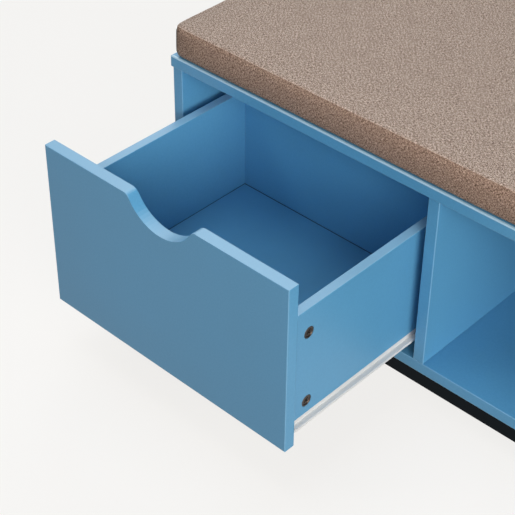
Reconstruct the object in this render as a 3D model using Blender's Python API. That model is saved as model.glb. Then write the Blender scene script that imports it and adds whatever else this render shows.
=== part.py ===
"""Entryway bench: one open bay, one bay with a pull-out drawer on roller slides, box cushion on top.

Frame: +X along the bench, +Y towards its back, +Z up.  The origin is on the floor, at the middle
of the footprint that the bench takes up with the drawer pulled out by DRAWER_OUT.
"""

import math

import bmesh
import bpy
from mathutils import Matrix, Vector

MM = 0.001

# carcass, in millimetres
BOARD = 15.0            # melamine-faced board
BAY_WIDTH = 380.0
BAY_HEIGHT = 235.0
DEPTH = 380.0
OVERHANG = 2.0          # the top board past the uprights, at the front and the two ends
PLINTH_HEIGHT = 50.0
PLINTH_RECESS = 28.0
EDGE_ROUND = 0.8        # edge-band radius
REBATE = 8.0            # ledge for the back board
BACK_THICK = 3.0
GAP = 0.2               # joint line between two boards

# drawer
DRAWER_OUT = 220.0      # how far the drawer is pulled out in the rest pose
FRONT_SIDE_GAP = 3.0
FRONT_LOW_GAP = 5.5
FRONT_TOP_GAP = 2.0
SIDE_THICK = 12.0
SIDE_HEIGHT = 150.0
SIDE_LENGTH = 304.0
SIDE_LOW = 28.0         # underside of the drawer's sides above the floor of the bay
FLOOR_THICK = 4.8
SLIDE_SPACE = 12.5      # between drawer side and upright, each side
NOTCH_RADIUS = 55.0
NOTCH_DEPTH = 32.0
NOTCH_SHOULDER = 8.0

# roller slides
STEEL = 1.2
SLIDE_LENGTH = 300.0
ROLLER_R = 8.0
ROLLER_Z = 77.6
AXLE_R = 2.5

# cam fittings at the drawer front
CAM_R = 7.5
CAM_DEPTH = 10.0
CAM_BACK = 29.5         # cam centre behind the drawer front
CAM_HEIGHTS = (18.0, 116.5)

# cushion
CUSHION_HEIGHT = 40.0
CUSHION_SIDE_INSET = 5.0
CUSHION_FRONT_INSET = 2.0
CUSHION_BACK_INSET = 4.0
COVER_THICK = 2.0
ZIP_LENGTH = 600.0

LENGTH = 2 * BAY_WIDTH + 3 * BOARD
FLOOR_Z = PLINTH_HEIGHT + BOARD
CEILING_Z = FLOOR_Z + BAY_HEIGHT
TOP_Z = CEILING_Z + BOARD
SHIFT = Vector((-LENGTH / 2, -(DEPTH - DRAWER_OUT) / 2, 0.0))

BLUE = (0.098, 0.245, 0.385)
COLOURS = {
    "blue_board": (BLUE, 0.42, 0.0),
    "black_plinth": ((0.012, 0.014, 0.017), 0.5, 0.0),
    "hardboard": (BLUE, 0.5, 0.0),
    "white_steel": ((0.62, 0.65, 0.66), 0.38, 0.1),
    "nylon": ((0.78, 0.78, 0.76), 0.45, 0.0),
    "zinc_steel": ((0.5, 0.5, 0.49), 0.35, 1.0),
    "dark_fitting": ((0.06, 0.05, 0.045), 0.4, 0.9),
    "taupe_fabric": ((0.34, 0.27, 0.225), 0.95, 0.0),
    "foam": ((0.8, 0.76, 0.62), 0.9, 0.0),
    "zip_tape": ((0.25, 0.2, 0.17), 0.8, 0.0),
    "zip_metal": ((0.32, 0.3, 0.27), 0.35, 1.0),
}


def clear_scene():
    for ob in list(bpy.data.objects):
        bpy.data.objects.remove(ob, do_unlink=True)


def material(slot):
    mat = bpy.data.materials.get(slot)
    if mat is None:
        colour, rough, metal = COLOURS[slot]
        mat = bpy.data.materials.new(slot)
        mat.use_nodes = True
        shader = mat.node_tree.nodes["Principled BSDF"]
        shader.inputs["Base Color"].default_value = (*colour, 1.0)
        shader.inputs["Roughness"].default_value = rough
        shader.inputs["Metallic"].default_value = metal
    return mat


def world(x, y, z):
    """A point of the bench, in millimetres from the left upright's outer face, the uprights' front
    edges and the floor, as a point in metres in the shared frame."""
    return (Vector((x, y, z)) + SHIFT) * MM


def add(name, bm, slot, at, parent=None, smooth=None, cutter=False):
    """Puts a bmesh drawn in millimetres around its own origin into the scene at a bench point."""
    bmesh.ops.scale(bm, vec=(MM, MM, MM), verts=bm.verts)
    bmesh.ops.recalc_face_normals(bm, faces=bm.faces)
    mesh = bpy.data.meshes.new(name)
    bm.to_mesh(mesh)
    bm.free()
    ob = bpy.data.objects.new(name, mesh)
    bpy.context.scene.collection.objects.link(ob)
    ob.location = world(*at)
    if slot:
        mesh.materials.append(material(slot))
    if smooth:
        mesh.shade_smooth()
        mesh.set_sharp_from_angle(angle=math.radians(smooth))
    if cutter:
        ob.hide_render = True
        ob.display_type = "WIRE"
    if parent:
        ob.parent = parent
        ob.matrix_parent_inverse = Matrix.Translation(-parent.location)
    return ob


def copy_of(ob, name, at, turn=None, parent=None):
    twin = bpy.data.objects.new(name, ob.data)
    bpy.context.scene.collection.objects.link(twin)
    twin.location = world(*at)
    if turn:
        twin.rotation_euler = turn
    if parent:
        twin.parent = parent
        twin.matrix_parent_inverse = Matrix.Translation(-parent.location)
    return twin


def boolean(ob, other, how="DIFFERENCE"):
    mod = ob.modifiers.new(how.lower(), "BOOLEAN")
    mod.operation = how
    mod.solver = "EXACT"
    mod.object = other


def box_into(bm, lo, hi):
    made = bmesh.ops.create_cube(bm, size=1.0)["verts"]
    size = [b - a for a, b in zip(lo, hi)]
    mid = [(a + b) / 2 for a, b in zip(lo, hi)]
    bmesh.ops.scale(bm, vec=size, verts=made)
    bmesh.ops.translate(bm, vec=mid, verts=made)
    return made


def board(size, rounding=EDGE_ROUND, segments=2):
    """A rectangular board centred on its own origin, with its edges eased."""
    bm = bmesh.new()
    half = [s / 2 for s in size]
    box_into(bm, [-h for h in half], half)
    if rounding:
        bmesh.ops.bevel(bm, geom=list(bm.edges), offset=rounding, segments=segments,
                        affect="EDGES", profile=0.5, material=-1)
    return bm


def turned(profile, sides=24, bm=None, turn=None, at=(0, 0, 0)):
    """A solid turned about Z from (radius, height) points, given from bottom to top."""
    bm = bm or bmesh.new()
    rings = []
    for radius, height in profile:
        rings.append([
            bm.verts.new((radius * math.cos(2 * math.pi * k / sides),
                          radius * math.sin(2 * math.pi * k / sides), height))
            for k in range(sides)
        ])
    for low, high in zip(rings, rings[1:]):
        for k in range(sides):
            n = (k + 1) % sides
            bm.faces.new((low[k], low[n], high[n], high[k]))
    bm.faces.new(list(reversed(rings[0])))
    bm.faces.new(rings[-1])
    made = [v for ring in rings for v in ring]
    if turn:
        bmesh.ops.rotate(bm, cent=(0, 0, 0), matrix=turn, verts=made)
    bmesh.ops.translate(bm, vec=at, verts=made)
    return bm


def ring(outer, bore, sides=20, turn=None):
    """A solid turned about Z with a bore right through, from outer (radius, height) points."""
    bm = bmesh.new()
    profile = list(outer) + [(bore, outer[-1][1]), (bore, outer[0][1])]
    rings = []
    for radius, height in profile:
        rings.append([
            bm.verts.new((radius * math.cos(2 * math.pi * k / sides),
                          radius * math.sin(2 * math.pi * k / sides), height))
            for k in range(sides)
        ])
    for a in range(len(rings)):
        low, high = rings[a], rings[(a + 1) % len(rings)]
        for k in range(sides):
            n = (k + 1) % sides
            bm.faces.new((low[k], low[n], high[n], high[k]))
    if turn:
        bmesh.ops.rotate(bm, cent=(0, 0, 0), matrix=turn, verts=bm.verts)
    return bm


def extruded(outline, depth, axis="Y"):
    """A closed outline of (x, z) points, pushed along Y from 0 to depth."""
    bm = bmesh.new()
    near = [bm.verts.new((x, 0.0, z)) for x, z in outline]
    far = [bm.verts.new((x, depth, z)) for x, z in outline]
    bm.faces.new(near)
    bm.faces.new(list(reversed(far)))
    for k in range(len(outline)):
        n = (k + 1) % len(outline)
        bm.faces.new((near[k], far[k], far[n], near[n]))
    return bm


ALONG_X = Matrix.Rotation(math.radians(90), 3, "Y")     # turns +Z onto +X
ALONG_Y = Matrix.Rotation(math.radians(-90), 3, "X")    # turns +Z onto +Y
DOWN = Matrix.Rotation(math.radians(180), 3, "X")

clear_scene()

# --------------------------------------------------------------------------- carcass boards
RAIL_X = {"left": BOARD / 2, "divider": BOARD + BAY_WIDTH + BOARD / 2, "right": LENGTH - BOARD / 2}
SCREW_Y = {"front": 60.0, "rear": 320.0}
HEAD_R, HEAD_DEPTH, SHANK_R, SCREW_LENGTH = 5.0, 3.0, 2.5, 48.0
ROOM = 0.25             # play of a fitting in its hole


def screw_profile(room=0.0):
    """Countersunk connecting screw, from its tip at -SCREW_LENGTH up to the top of its head at 0."""
    return [
        (SHANK_R + room, -SCREW_LENGTH - room),
        (SHANK_R + room, -HEAD_DEPTH - room),
        (HEAD_R + room, -0.6 - room),
        (HEAD_R + room, 0.4 if room else 0.0),
    ]


def holes_for_screws(name, depth_sign, face_z):
    bm = bmesh.new()
    for x in RAIL_X.values():
        for y in SCREW_Y.values():
            turned(screw_profile(ROOM), 12, bm, None if depth_sign > 0 else DOWN,
                   (x, y, face_z))
    return add(name, bm, None, (0, 0, 0), cutter=True)


top_holes = holes_for_screws("cut_top_screws", 1, TOP_Z - 0.3)
low_holes = holes_for_screws("cut_low_screws", -1, PLINTH_HEIGHT + 0.3)

back_cut = bmesh.new()
ledge = BOARD - REBATE
box_into(back_cut, (ledge - 0.2, DEPTH - BACK_THICK - 0.3, PLINTH_HEIGHT + ledge - 0.2),
         (LENGTH - ledge + 0.2, DEPTH + 20, TOP_Z - ledge + 0.2))
back_rebate = add("cut_back_rebate", back_cut, None, (0, 0, 0), cutter=True)

top = add("top_panel", board((LENGTH + 2 * OVERHANG, DEPTH + OVERHANG, BOARD)), "blue_board",
          (LENGTH / 2, (DEPTH - OVERHANG) / 2, TOP_Z - BOARD / 2))
bottom = add("bottom_panel", board((LENGTH, DEPTH, BOARD)), "blue_board",
             (LENGTH / 2, DEPTH / 2, FLOOR_Z - BOARD / 2))
for ob, holes in ((top, top_holes), (bottom, low_holes)):
    boolean(ob, holes)
    boolean(ob, back_rebate)

upright_h = BAY_HEIGHT - 2 * GAP
uprights = {}
for side, x in RAIL_X.items():
    name = "divider_panel" if side == "divider" else side + "_side_panel"
    deep = DEPTH - (BACK_THICK + 0.6 if side == "divider" else 0.0)
    ob = add(name, board((BOARD, deep, upright_h)), "blue_board",
             (x, deep / 2, FLOOR_Z + BAY_HEIGHT / 2))
    boolean(ob, top_holes)
    boolean(ob, low_holes)
    if side != "divider":
        boolean(ob, back_rebate)
    uprights[side] = ob

add("back_panel", board((LENGTH - 2 * ledge - 0.2, BACK_THICK, TOP_Z - PLINTH_HEIGHT - 2 * ledge - 0.2),
                        0.0),
    "hardboard", (LENGTH / 2, DEPTH - BACK_THICK / 2, (TOP_Z + PLINTH_HEIGHT) / 2))

# --------------------------------------------------------------------------- plinth frame
run = LENGTH - 2 * PLINTH_RECESS
span = DEPTH - 2 * PLINTH_RECESS - 2 * BOARD - 2 * GAP
plinth_h = PLINTH_HEIGHT - GAP
for name, y in (("plinth_front_rail", PLINTH_RECESS + BOARD / 2),
                ("plinth_back_rail", DEPTH - PLINTH_RECESS - BOARD / 2)):
    add(name, board((run, BOARD, plinth_h)), "black_plinth", (LENGTH / 2, y, plinth_h / 2))
for name, x in (("plinth_left_rail", PLINTH_RECESS + BOARD / 2),
                ("plinth_centre_rail", RAIL_X["divider"] + 42.0),
                ("plinth_right_rail", LENGTH - PLINTH_RECESS - BOARD / 2)):
    add(name, board((BOARD, span, plinth_h)), "black_plinth", (x, DEPTH / 2, plinth_h / 2))

# --------------------------------------------------------------------------- connecting screws
first = None
for level, z, flip in (("top", TOP_Z - 0.3, None), ("low", PLINTH_HEIGHT + 0.3, (math.pi, 0, 0))):
    for side, x in RAIL_X.items():
        for place, y in SCREW_Y.items():
            name = f"{level}_screw_{side}_{place}"
            if first is None:
                first = add(name, turned(screw_profile(), 12), "zinc_steel", (x, y, z), smooth=40)
            else:
                copy_of(first, name, (x, y, z), flip)

# --------------------------------------------------------------------------- cabinet slides
SLIDE_FRONT = 17.0                      # slides start behind the inset drawer front
ROLLER_FRONT = SLIDE_FRONT + 12.0       # axle of the cabinet roller
SLIDE_SCREW_Y = (SLIDE_FRONT + 37.0, SLIDE_FRONT + 261.0)
CHANNEL_LOW = ROLLER_Z - ROLLER_R - 0.4 - STEEL
CHANNEL_HIGH = ROLLER_Z + ROLLER_R + 0.6 + STEEL
STOP_Y = 75.6                           # rear face of the pull-out stop


def side_x(side, inward):
    """X of a point that lies `inward` from the bay's own wall on that side."""
    return BOARD + inward if side == "left" else BOARD + BAY_WIDTH - inward


def sx(side):
    return 1.0 if side == "left" else -1.0


for side in ("left", "right"):
    s = sx(side)
    w = GAP                             # the web stands this far off the wall
    outline = [(w, CHANNEL_LOW), (w + 11.4, CHANNEL_LOW), (w + 11.4, CHANNEL_LOW + STEEL),
               (w + STEEL, CHANNEL_LOW + STEEL), (w + STEEL, CHANNEL_HIGH - STEEL),
               (w + 3.9, CHANNEL_HIGH - STEEL), (w + 3.9, CHANNEL_HIGH), (w, CHANNEL_HIGH)]
    runner = add(f"cabinet_slide_{side}", extruded([(s * x, z) for x, z in outline], SLIDE_LENGTH),
                 "white_steel", (side_x(side, 0), SLIDE_FRONT, 0))
    # riveted axle for the roller, with a spacer collar against the web
    axle = turned([(4.0, 0.6), (4.0, 5.7), (AXLE_R, 5.7), (AXLE_R, 11.8)], 20,
                  turn=ALONG_X if s > 0 else Matrix.Rotation(math.radians(-90), 3, "Y"))
    pin = add(f"fuse_cabinet_axle_{side}", axle, None,
              (side_x(side, w), ROLLER_FRONT, ROLLER_Z), cutter=True)
    boolean(runner, pin, "UNION")
    # bent-up stops in the lower flange: one ends the pull-out, one the push-in
    stops = bmesh.new()
    box_into(stops, (min(s * 3.0, s * 9.0), STOP_Y - 3.0, CHANNEL_LOW + 0.4),
             (max(s * 3.0, s * 9.0), STOP_Y, CHANNEL_LOW + STEEL + 1.4))
    box_into(stops, (min(s * 3.0, s * 9.0), SLIDE_FRONT + SLIDE_LENGTH - 1.6, CHANNEL_LOW + 0.4),
             (max(s * 3.0, s * 9.0), SLIDE_FRONT + SLIDE_LENGTH - 0.4, CHANNEL_LOW + STEEL + 6.0))
    boolean(runner, add(f"fuse_stops_{side}", stops, None, (side_x(side, w), 0, 0), cutter=True),
            "UNION")
    # screw holes through the web and into the upright
    holes = bmesh.new()
    for y in SLIDE_SCREW_Y:
        turned([(2.5 + ROOM, -12.5), (2.5 + ROOM, 8.0)], 12, holes,
               ALONG_X if s > 0 else Matrix.Rotation(math.radians(-90), 3, "Y"), (0, y, ROLLER_Z))
    drilled = add(f"cut_slide_screws_{side}", holes, None, (side_x(side, 0), 0, 0), cutter=True)
    boolean(runner, drilled)
    boolean(uprights["left" if side == "left" else "divider"], drilled)

    for place, y in zip(("front", "rear"), SLIDE_SCREW_Y):
        head = turned([(2.5, -12.0), (2.5, w + STEEL + 0.1), (4.5, w + STEEL + 0.1),
                       (4.0, w + STEEL + 0.9)], 12,
                      turn=ALONG_X if s > 0 else Matrix.Rotation(math.radians(-90), 3, "Y"))
        add(f"slide_screw_{side}_{place}", head, "zinc_steel", (side_x(side, 0), y, ROLLER_Z),
            smooth=40)

    wheel = ring([(ROLLER_R - 0.6, -2.7), (ROLLER_R, -2.1), (ROLLER_R, 2.1), (ROLLER_R - 0.6, 2.7)],
                 AXLE_R + 0.1, turn=ALONG_X)
    add(f"cabinet_roller_{side}", wheel, "nylon",
        (side_x(side, w + 8.75), ROLLER_FRONT, ROLLER_Z), smooth=40)

# --------------------------------------------------------------------------- drawer
DRAWER = bpy.data.objects.new("drawer_origin", None)
bpy.context.scene.collection.objects.link(DRAWER)
DRAWER.location = world(BOARD + BAY_WIDTH / 2, -DRAWER_OUT, FLOOR_Z)

front_w = BAY_WIDTH - 2 * FRONT_SIDE_GAP
front_low = FLOOR_Z + FRONT_LOW_GAP
front_high = CEILING_Z - FRONT_TOP_GAP
front_x = BOARD + BAY_WIDTH / 2
front_back_y = -DRAWER_OUT + BOARD      # back face of the drawer front
side_low = FLOOR_Z + SIDE_LOW
side_high = side_low + SIDE_HEIGHT


def front_outline():
    """Rectangle with a scooped finger notch in the middle of its top edge."""
    top_z = front_high
    centre_z = top_z - NOTCH_DEPTH + NOTCH_RADIUS
    reach = NOTCH_RADIUS + NOTCH_SHOULDER
    shoulder_z = top_z - NOTCH_SHOULDER
    shoulder_x = math.sqrt(reach ** 2 - (centre_z - shoulder_z) ** 2)
    meet = math.atan2(shoulder_z - centre_z, shoulder_x)       # seen from the scoop's centre
    points = [(-front_w / 2, front_low), (front_w / 2, front_low), (front_w / 2, top_z)]
    for k in range(7):                                          # right shoulder, from the top
        a = math.pi / 2 + (math.pi / 2 + meet) * k / 6
        points.append((shoulder_x + NOTCH_SHOULDER * math.cos(a),
                       shoulder_z + NOTCH_SHOULDER * math.sin(a)))
    for k in range(1, 24):                                      # scoop, right to left
        a = meet + (-math.pi - 2 * meet) * k / 24
        points.append((NOTCH_RADIUS * math.cos(a), centre_z + NOTCH_RADIUS * math.sin(a)))
    for k in range(7):                                          # left shoulder, up to the top
        a = -meet + (math.pi / 2 + meet) * k / 6
        points.append((-shoulder_x + NOTCH_SHOULDER * math.cos(a),
                       shoulder_z + NOTCH_SHOULDER * math.sin(a)))
    points.append((-front_w / 2, top_z))
    return points


bm = extruded(front_outline(), BOARD)
rim = [e for e in bm.edges if abs(e.verts[0].co.y - e.verts[1].co.y) < 1e-6]
bmesh.ops.bevel(bm, geom=rim, offset=EDGE_ROUND, segments=2, affect="EDGES", profile=0.5, material=-1)
front = add("drawer_front", bm, "blue_board", (front_x, -DRAWER_OUT, 0), DRAWER)

# the bottom lies in rebates along both sides and in a groove across the front
bottom_wide = BAY_WIDTH - 2 * SLIDE_SPACE - 2 * (SIDE_THICK - 5.0)
bottom_cut = bmesh.new()
box_into(bottom_cut, (-bottom_wide / 2, front_back_y - 5.0, side_low - 5.0),
         (bottom_wide / 2, front_back_y + SIDE_LENGTH + 20, side_low + FLOOR_THICK + 0.4))
bottom_room = add("cut_drawer_bottom", bottom_cut, None, (front_x, 0, 0), DRAWER, cutter=True)
groove = bmesh.new()
box_into(groove, (-bottom_wide / 2, front_back_y - 5.0, side_low),
         (bottom_wide / 2, front_back_y + 5.0, side_low + FLOOR_THICK + 0.4))
boolean(front, add("cut_front_groove", groove, None, (front_x, 0, 0), DRAWER, cutter=True))

half_box = BAY_WIDTH / 2 - SLIDE_SPACE              # drawer box, outside, each way from the middle
back_y = front_back_y + SIDE_LENGTH - GAP - SIDE_THICK / 2
# cam bolts cross from the front into the ends of the sides
bolts_cut = bmesh.new()
cams_cut = bmesh.new()
backs_cut = bmesh.new()
BACK_SCREWS = (30.0, 120.0)
for s in (-1.0, 1.0):
    for h in CAM_HEIGHTS:
        turned([(2.5 + ROOM, -11.0), (2.5 + ROOM, 1.0), (3.5 + ROOM, 1.0), (3.5 + ROOM, CAM_BACK - 2.0)],
               12, bolts_cut, ALONG_Y, (s * (half_box - SIDE_THICK / 2), front_back_y, side_low + h))
        turned([(CAM_R + ROOM, -CAM_DEPTH - 0.3), (CAM_R + ROOM, 2.0)], 24, cams_cut,
               ALONG_X if s > 0 else Matrix.Rotation(math.radians(-90), 3, "Y"),
               (s * half_box, front_back_y + CAM_BACK, side_low + h))
    for h in BACK_SCREWS:
        turned([(1.75 + ROOM, -36.0), (1.75 + ROOM, -2.8), (3.8 + ROOM, -2.8 + 2.0), (3.8 + ROOM, 1.0)],
               12, backs_cut, ALONG_X if s > 0 else Matrix.Rotation(math.radians(-90), 3, "Y"),
               (s * half_box, back_y, side_low + h))
bolt_holes = add("cut_cam_bolts", bolts_cut, None, (front_x, 0, 0), DRAWER, cutter=True)
cam_holes = add("cut_cams", cams_cut, None, (front_x, 0, 0), DRAWER, cutter=True)
back_holes = add("cut_back_screws", backs_cut, None, (front_x, 0, 0), DRAWER, cutter=True)
boolean(front, bolt_holes)

SCREW_INSET = 4.2       # runner screws, in from the outer face of the side
edge_cut = bmesh.new()
for s in (-1.0, 1.0):
    for y in (60.0, 240.0):
        turned([(1.5 + ROOM, -5.0), (1.5 + ROOM, 16.0)], 10, edge_cut, None,
               (s * (half_box - SCREW_INSET), front_back_y + y, side_low))
edge_holes = add("cut_runner_screws", edge_cut, None, (front_x, 0, 0), DRAWER, cutter=True)

for side, s in (("left", -1.0), ("right", 1.0)):
    ob = add(f"drawer_side_{side}", board((SIDE_THICK, SIDE_LENGTH - GAP, SIDE_HEIGHT), 0.6),
             "blue_board",
             (front_x + s * (half_box - SIDE_THICK / 2), front_back_y + GAP + (SIDE_LENGTH - GAP) / 2,
              side_low + SIDE_HEIGHT / 2), DRAWER)
    for cut in (bottom_room, bolt_holes, cam_holes, back_holes, edge_holes):
        boolean(ob, cut)

back_h = SIDE_HEIGHT - FLOOR_THICK - 0.4
back = add("drawer_back", board((2 * (half_box - SIDE_THICK - GAP), SIDE_THICK, back_h), 0.6),
           "blue_board", (front_x, back_y, side_high - back_h / 2), DRAWER)
boolean(back, back_holes)
add("drawer_bottom", board((bottom_wide - 0.5, SIDE_LENGTH + 4.6, FLOOR_THICK), 0.0), "hardboard",
    (front_x, front_back_y - 4.6 + (SIDE_LENGTH + 4.6) / 2, side_low + 0.2 + FLOOR_THICK / 2), DRAWER)

# --------------------------------------------------------------------------- drawer fittings
for side, s in (("left", -1.0), ("right", 1.0)):
    facing = ALONG_X if s > 0 else Matrix.Rotation(math.radians(-90), 3, "Y")
    for place, h in zip(("low", "high"), CAM_HEIGHTS):
        at = (front_x + s * half_box, front_back_y + CAM_BACK, side_low + h)
        cam = add(f"cam_{side}_{place}",
                  turned([(CAM_R - 0.3, -CAM_DEPTH), (CAM_R, -CAM_DEPTH + 0.3), (CAM_R, -0.5),
                          (CAM_R - 0.3, -0.2)], 24, turn=facing),
                  "dark_fitting", at, DRAWER, smooth=40)
        # cross recess in the face, and the mouth that grips the bolt's head
        cuts = bmesh.new()
        lo, hi = sorted((s * -2.0, s * 2.0))
        box_into(cuts, (lo, -4.2, -0.8), (hi, 4.2, 0.8))
        cross = bmesh.new()
        box_into(cross, (lo, -0.8, -4.2), (hi, 0.8, 4.2))
        mouth = bmesh.new()
        lo, hi = sorted((s * -14.0, s * -2.6))
        box_into(mouth, (lo, -20.0, -3.9), (hi, 3.4, 3.9))
        boolean(cam, add(f"cut_slot_{side}_{place}", cuts, None, at, DRAWER, cutter=True))
        boolean(cam, add(f"cut_cross_{side}_{place}", cross, None, at, DRAWER, cutter=True))
        boolean(cam, add(f"cut_mouth_{side}_{place}", mouth, None, at, DRAWER, cutter=True))
        bolt = turned([(2.5, -10.5), (2.5, 1.2), (3.3, 1.2), (3.3, 4.0), (2.4, 4.4), (2.4, 26.0),
                       (3.3, 27.6), (3.3, 30.8)], 12, turn=ALONG_Y)
        add(f"cam_bolt_{side}_{place}", bolt, "zinc_steel",
            (front_x + s * (half_box - SIDE_THICK / 2), front_back_y, side_low + h), DRAWER, smooth=40)
    for place, h in zip(("low", "high"), BACK_SCREWS):
        screw = turned([(1.75, -35.0), (1.75, -2.8), (3.8, -0.9), (3.8, -0.3)], 12, turn=facing)
        add(f"back_screw_{side}_{place}", screw, "zinc_steel",
            (front_x + s * half_box, back_y, side_low + h), DRAWER, smooth=40)

# --------------------------------------------------------------------------- drawer slides
FLANGE_Z = ROLLER_Z + ROLLER_R + 0.2                # underside of the flange that rides the roller
LEDGE_LOW = side_low - 0.2 - STEEL
TAB_LENGTH = 26.0
runner_y = front_back_y + 2.0
for side in ("left", "right"):
    s = sx(side)                                    # +1 when outward is towards -X
    edge = half_box                                 # drawer side's outer face
    # (distance outward from that face, z): ledge under the side, web, tread flange, lip
    shape = [(-16.5, LEDGE_LOW + STEEL), (-16.5, LEDGE_LOW), (-1.5, LEDGE_LOW), (-1.5, FLANGE_Z),
             (6.9, FLANGE_Z), (6.9, FLANGE_Z - 2.8), (7.9, FLANGE_Z - 2.8), (7.9, FLANGE_Z + STEEL),
             (-0.3, FLANGE_Z + STEEL), (-0.3, LEDGE_LOW + STEEL)]
    tail = [(-16.5, LEDGE_LOW + STEEL), (-16.5, LEDGE_LOW), (-1.5, LEDGE_LOW),
            (-1.5, ROLLER_Z - 6.5), (-0.3, ROLLER_Z - 6.5), (-0.3, LEDGE_LOW + STEEL)]
    base = (front_x - s * edge, runner_y, 0)
    runner = add(f"drawer_slide_{side}",
                 extruded([(-s * x, z) for x, z in shape], SLIDE_LENGTH - TAB_LENGTH),
                 "white_steel", base, DRAWER)
    end = add(f"fuse_slide_tail_{side}", extruded([(-s * x, z) for x, z in tail], TAB_LENGTH + 1.0),
              None, (base[0], runner_y + SLIDE_LENGTH - TAB_LENGTH - 1.0, 0), DRAWER, cutter=True)
    boolean(runner, end, "UNION")
    outward = Matrix.Rotation(math.radians(-90), 3, "Y") if s > 0 else ALONG_X
    roller_y = runner_y + SLIDE_LENGTH - 11.0
    pin = add(f"fuse_drawer_axle_{side}",
              turned([(4.0, -0.8), (4.0, 2.5), (AXLE_R, 2.5), (AXLE_R, 9.9)], 20, turn=outward),
              None, (base[0], roller_y, ROLLER_Z), DRAWER, cutter=True)
    boolean(runner, pin, "UNION")
    boolean(runner, edge_holes)
    wheel = ring([(ROLLER_R - 0.6, -3.5), (ROLLER_R, -2.9), (ROLLER_R, 2.9), (ROLLER_R - 0.6, 3.5)],
                 AXLE_R + 0.1, turn=ALONG_X)
    add(f"drawer_roller_{side}", wheel, "nylon",
        (base[0] - s * 6.3, roller_y, ROLLER_Z), DRAWER, smooth=40)
    for place, y in (("front", 60.0), ("rear", 240.0)):
        screw = turned([(2.4, LEDGE_LOW - 1.5), (2.4, LEDGE_LOW - 0.2), (1.5, LEDGE_LOW - 0.2),
                        (1.5, side_low + 15.0)], 10)
        add(f"runner_screw_{side}_{place}", screw, "zinc_steel",
            (front_x - s * (half_box - SCREW_INSET), front_back_y + y, 0), DRAWER, smooth=40)

# --------------------------------------------------------------------------- cushion
CUSHION = bpy.data.objects.new("cushion_origin", None)
bpy.context.scene.collection.objects.link(CUSHION)
cushion_lo = (-OVERHANG + CUSHION_SIDE_INSET, -OVERHANG + CUSHION_FRONT_INSET, TOP_Z + 0.2)
cushion_hi = (LENGTH + OVERHANG - CUSHION_SIDE_INSET, DEPTH - CUSHION_BACK_INSET,
              TOP_Z + CUSHION_HEIGHT)
cushion_mid = [(a + b) / 2 for a, b in zip(cushion_lo, cushion_hi)]
cushion_size = [b - a for a, b in zip(cushion_lo, cushion_hi)]
CUSHION.location = world(*cushion_mid)
cover = add("cushion_cover", board(cushion_size, 7.0, 3), "taupe_fabric", cushion_mid, CUSHION,
            smooth=30)
hollow = add("cut_cover_inside", board([c - 2 * COVER_THICK for c in cushion_size], 5.0, 3), None,
             cushion_mid, CUSHION, cutter=True)
slot = bmesh.new()
box_into(slot, (-ZIP_LENGTH / 2, cushion_size[1] / 2 - 5.0, -2.6),
         (ZIP_LENGTH / 2, cushion_size[1] / 2 + 5.0, 2.6))
boolean(cover, hollow)
boolean(cover, add("cut_zip_slot", slot, None, cushion_mid, CUSHION, cutter=True))
add("foam_core", board([c - 2 * COVER_THICK - 0.8 for c in cushion_size], 4.6, 3), "foam",
    cushion_mid, CUSHION, smooth=30)
zip_y = cushion_hi[1] - COVER_THICK / 2
add("cushion_zip", board((ZIP_LENGTH - 0.6, COVER_THICK - 0.2, 4.6), 0.0), "zip_tape",
    (cushion_mid[0], zip_y, cushion_mid[2]), CUSHION)
slider_x = cushion_mid[0] + ZIP_LENGTH / 2 - 8.0
tab = bmesh.new()
box_into(tab, (-4.5, 0.0, -2.4), (4.5, 2.2, 2.4))
slider = add("zip_slider", tab, "zip_metal", (slider_x, cushion_hi[1] + 0.4, cushion_mid[2]), CUSHION)
pull = bmesh.new()
box_into(pull, (-2.6, 1.0, -16.0), (2.6, 2.8, 1.0))
boolean(slider, add("fuse_zip_pull", pull, None,
                    (slider_x, cushion_hi[1] + 0.4, cushion_mid[2]), CUSHION, cutter=True), "UNION")
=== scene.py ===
"""Entryway bench: blue carcass on a black plinth, a drawer on roller slides, a box cushion."""
import math

import bmesh
import bpy
from mathutils import Matrix, Vector, noise
from mathutils.bvhtree import BVHTree


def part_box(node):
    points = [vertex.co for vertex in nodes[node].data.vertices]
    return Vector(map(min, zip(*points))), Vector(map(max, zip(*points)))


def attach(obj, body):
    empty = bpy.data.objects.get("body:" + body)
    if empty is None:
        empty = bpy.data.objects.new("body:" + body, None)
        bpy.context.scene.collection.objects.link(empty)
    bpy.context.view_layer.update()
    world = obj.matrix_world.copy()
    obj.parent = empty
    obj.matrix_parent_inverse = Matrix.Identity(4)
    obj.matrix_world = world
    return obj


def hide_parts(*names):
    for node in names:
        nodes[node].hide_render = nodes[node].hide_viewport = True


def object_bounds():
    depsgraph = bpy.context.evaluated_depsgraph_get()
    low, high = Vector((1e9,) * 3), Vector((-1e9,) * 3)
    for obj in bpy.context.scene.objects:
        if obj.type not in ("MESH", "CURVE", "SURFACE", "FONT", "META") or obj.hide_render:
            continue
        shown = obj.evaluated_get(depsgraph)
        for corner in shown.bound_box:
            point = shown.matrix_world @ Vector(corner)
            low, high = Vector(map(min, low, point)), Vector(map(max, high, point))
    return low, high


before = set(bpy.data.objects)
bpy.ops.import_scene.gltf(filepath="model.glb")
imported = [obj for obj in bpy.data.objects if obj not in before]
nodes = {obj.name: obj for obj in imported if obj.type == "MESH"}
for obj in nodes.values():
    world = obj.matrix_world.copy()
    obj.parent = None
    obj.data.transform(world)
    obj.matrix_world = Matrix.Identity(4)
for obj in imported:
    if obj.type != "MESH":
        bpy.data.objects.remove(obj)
cad_low, cad_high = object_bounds()

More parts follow.
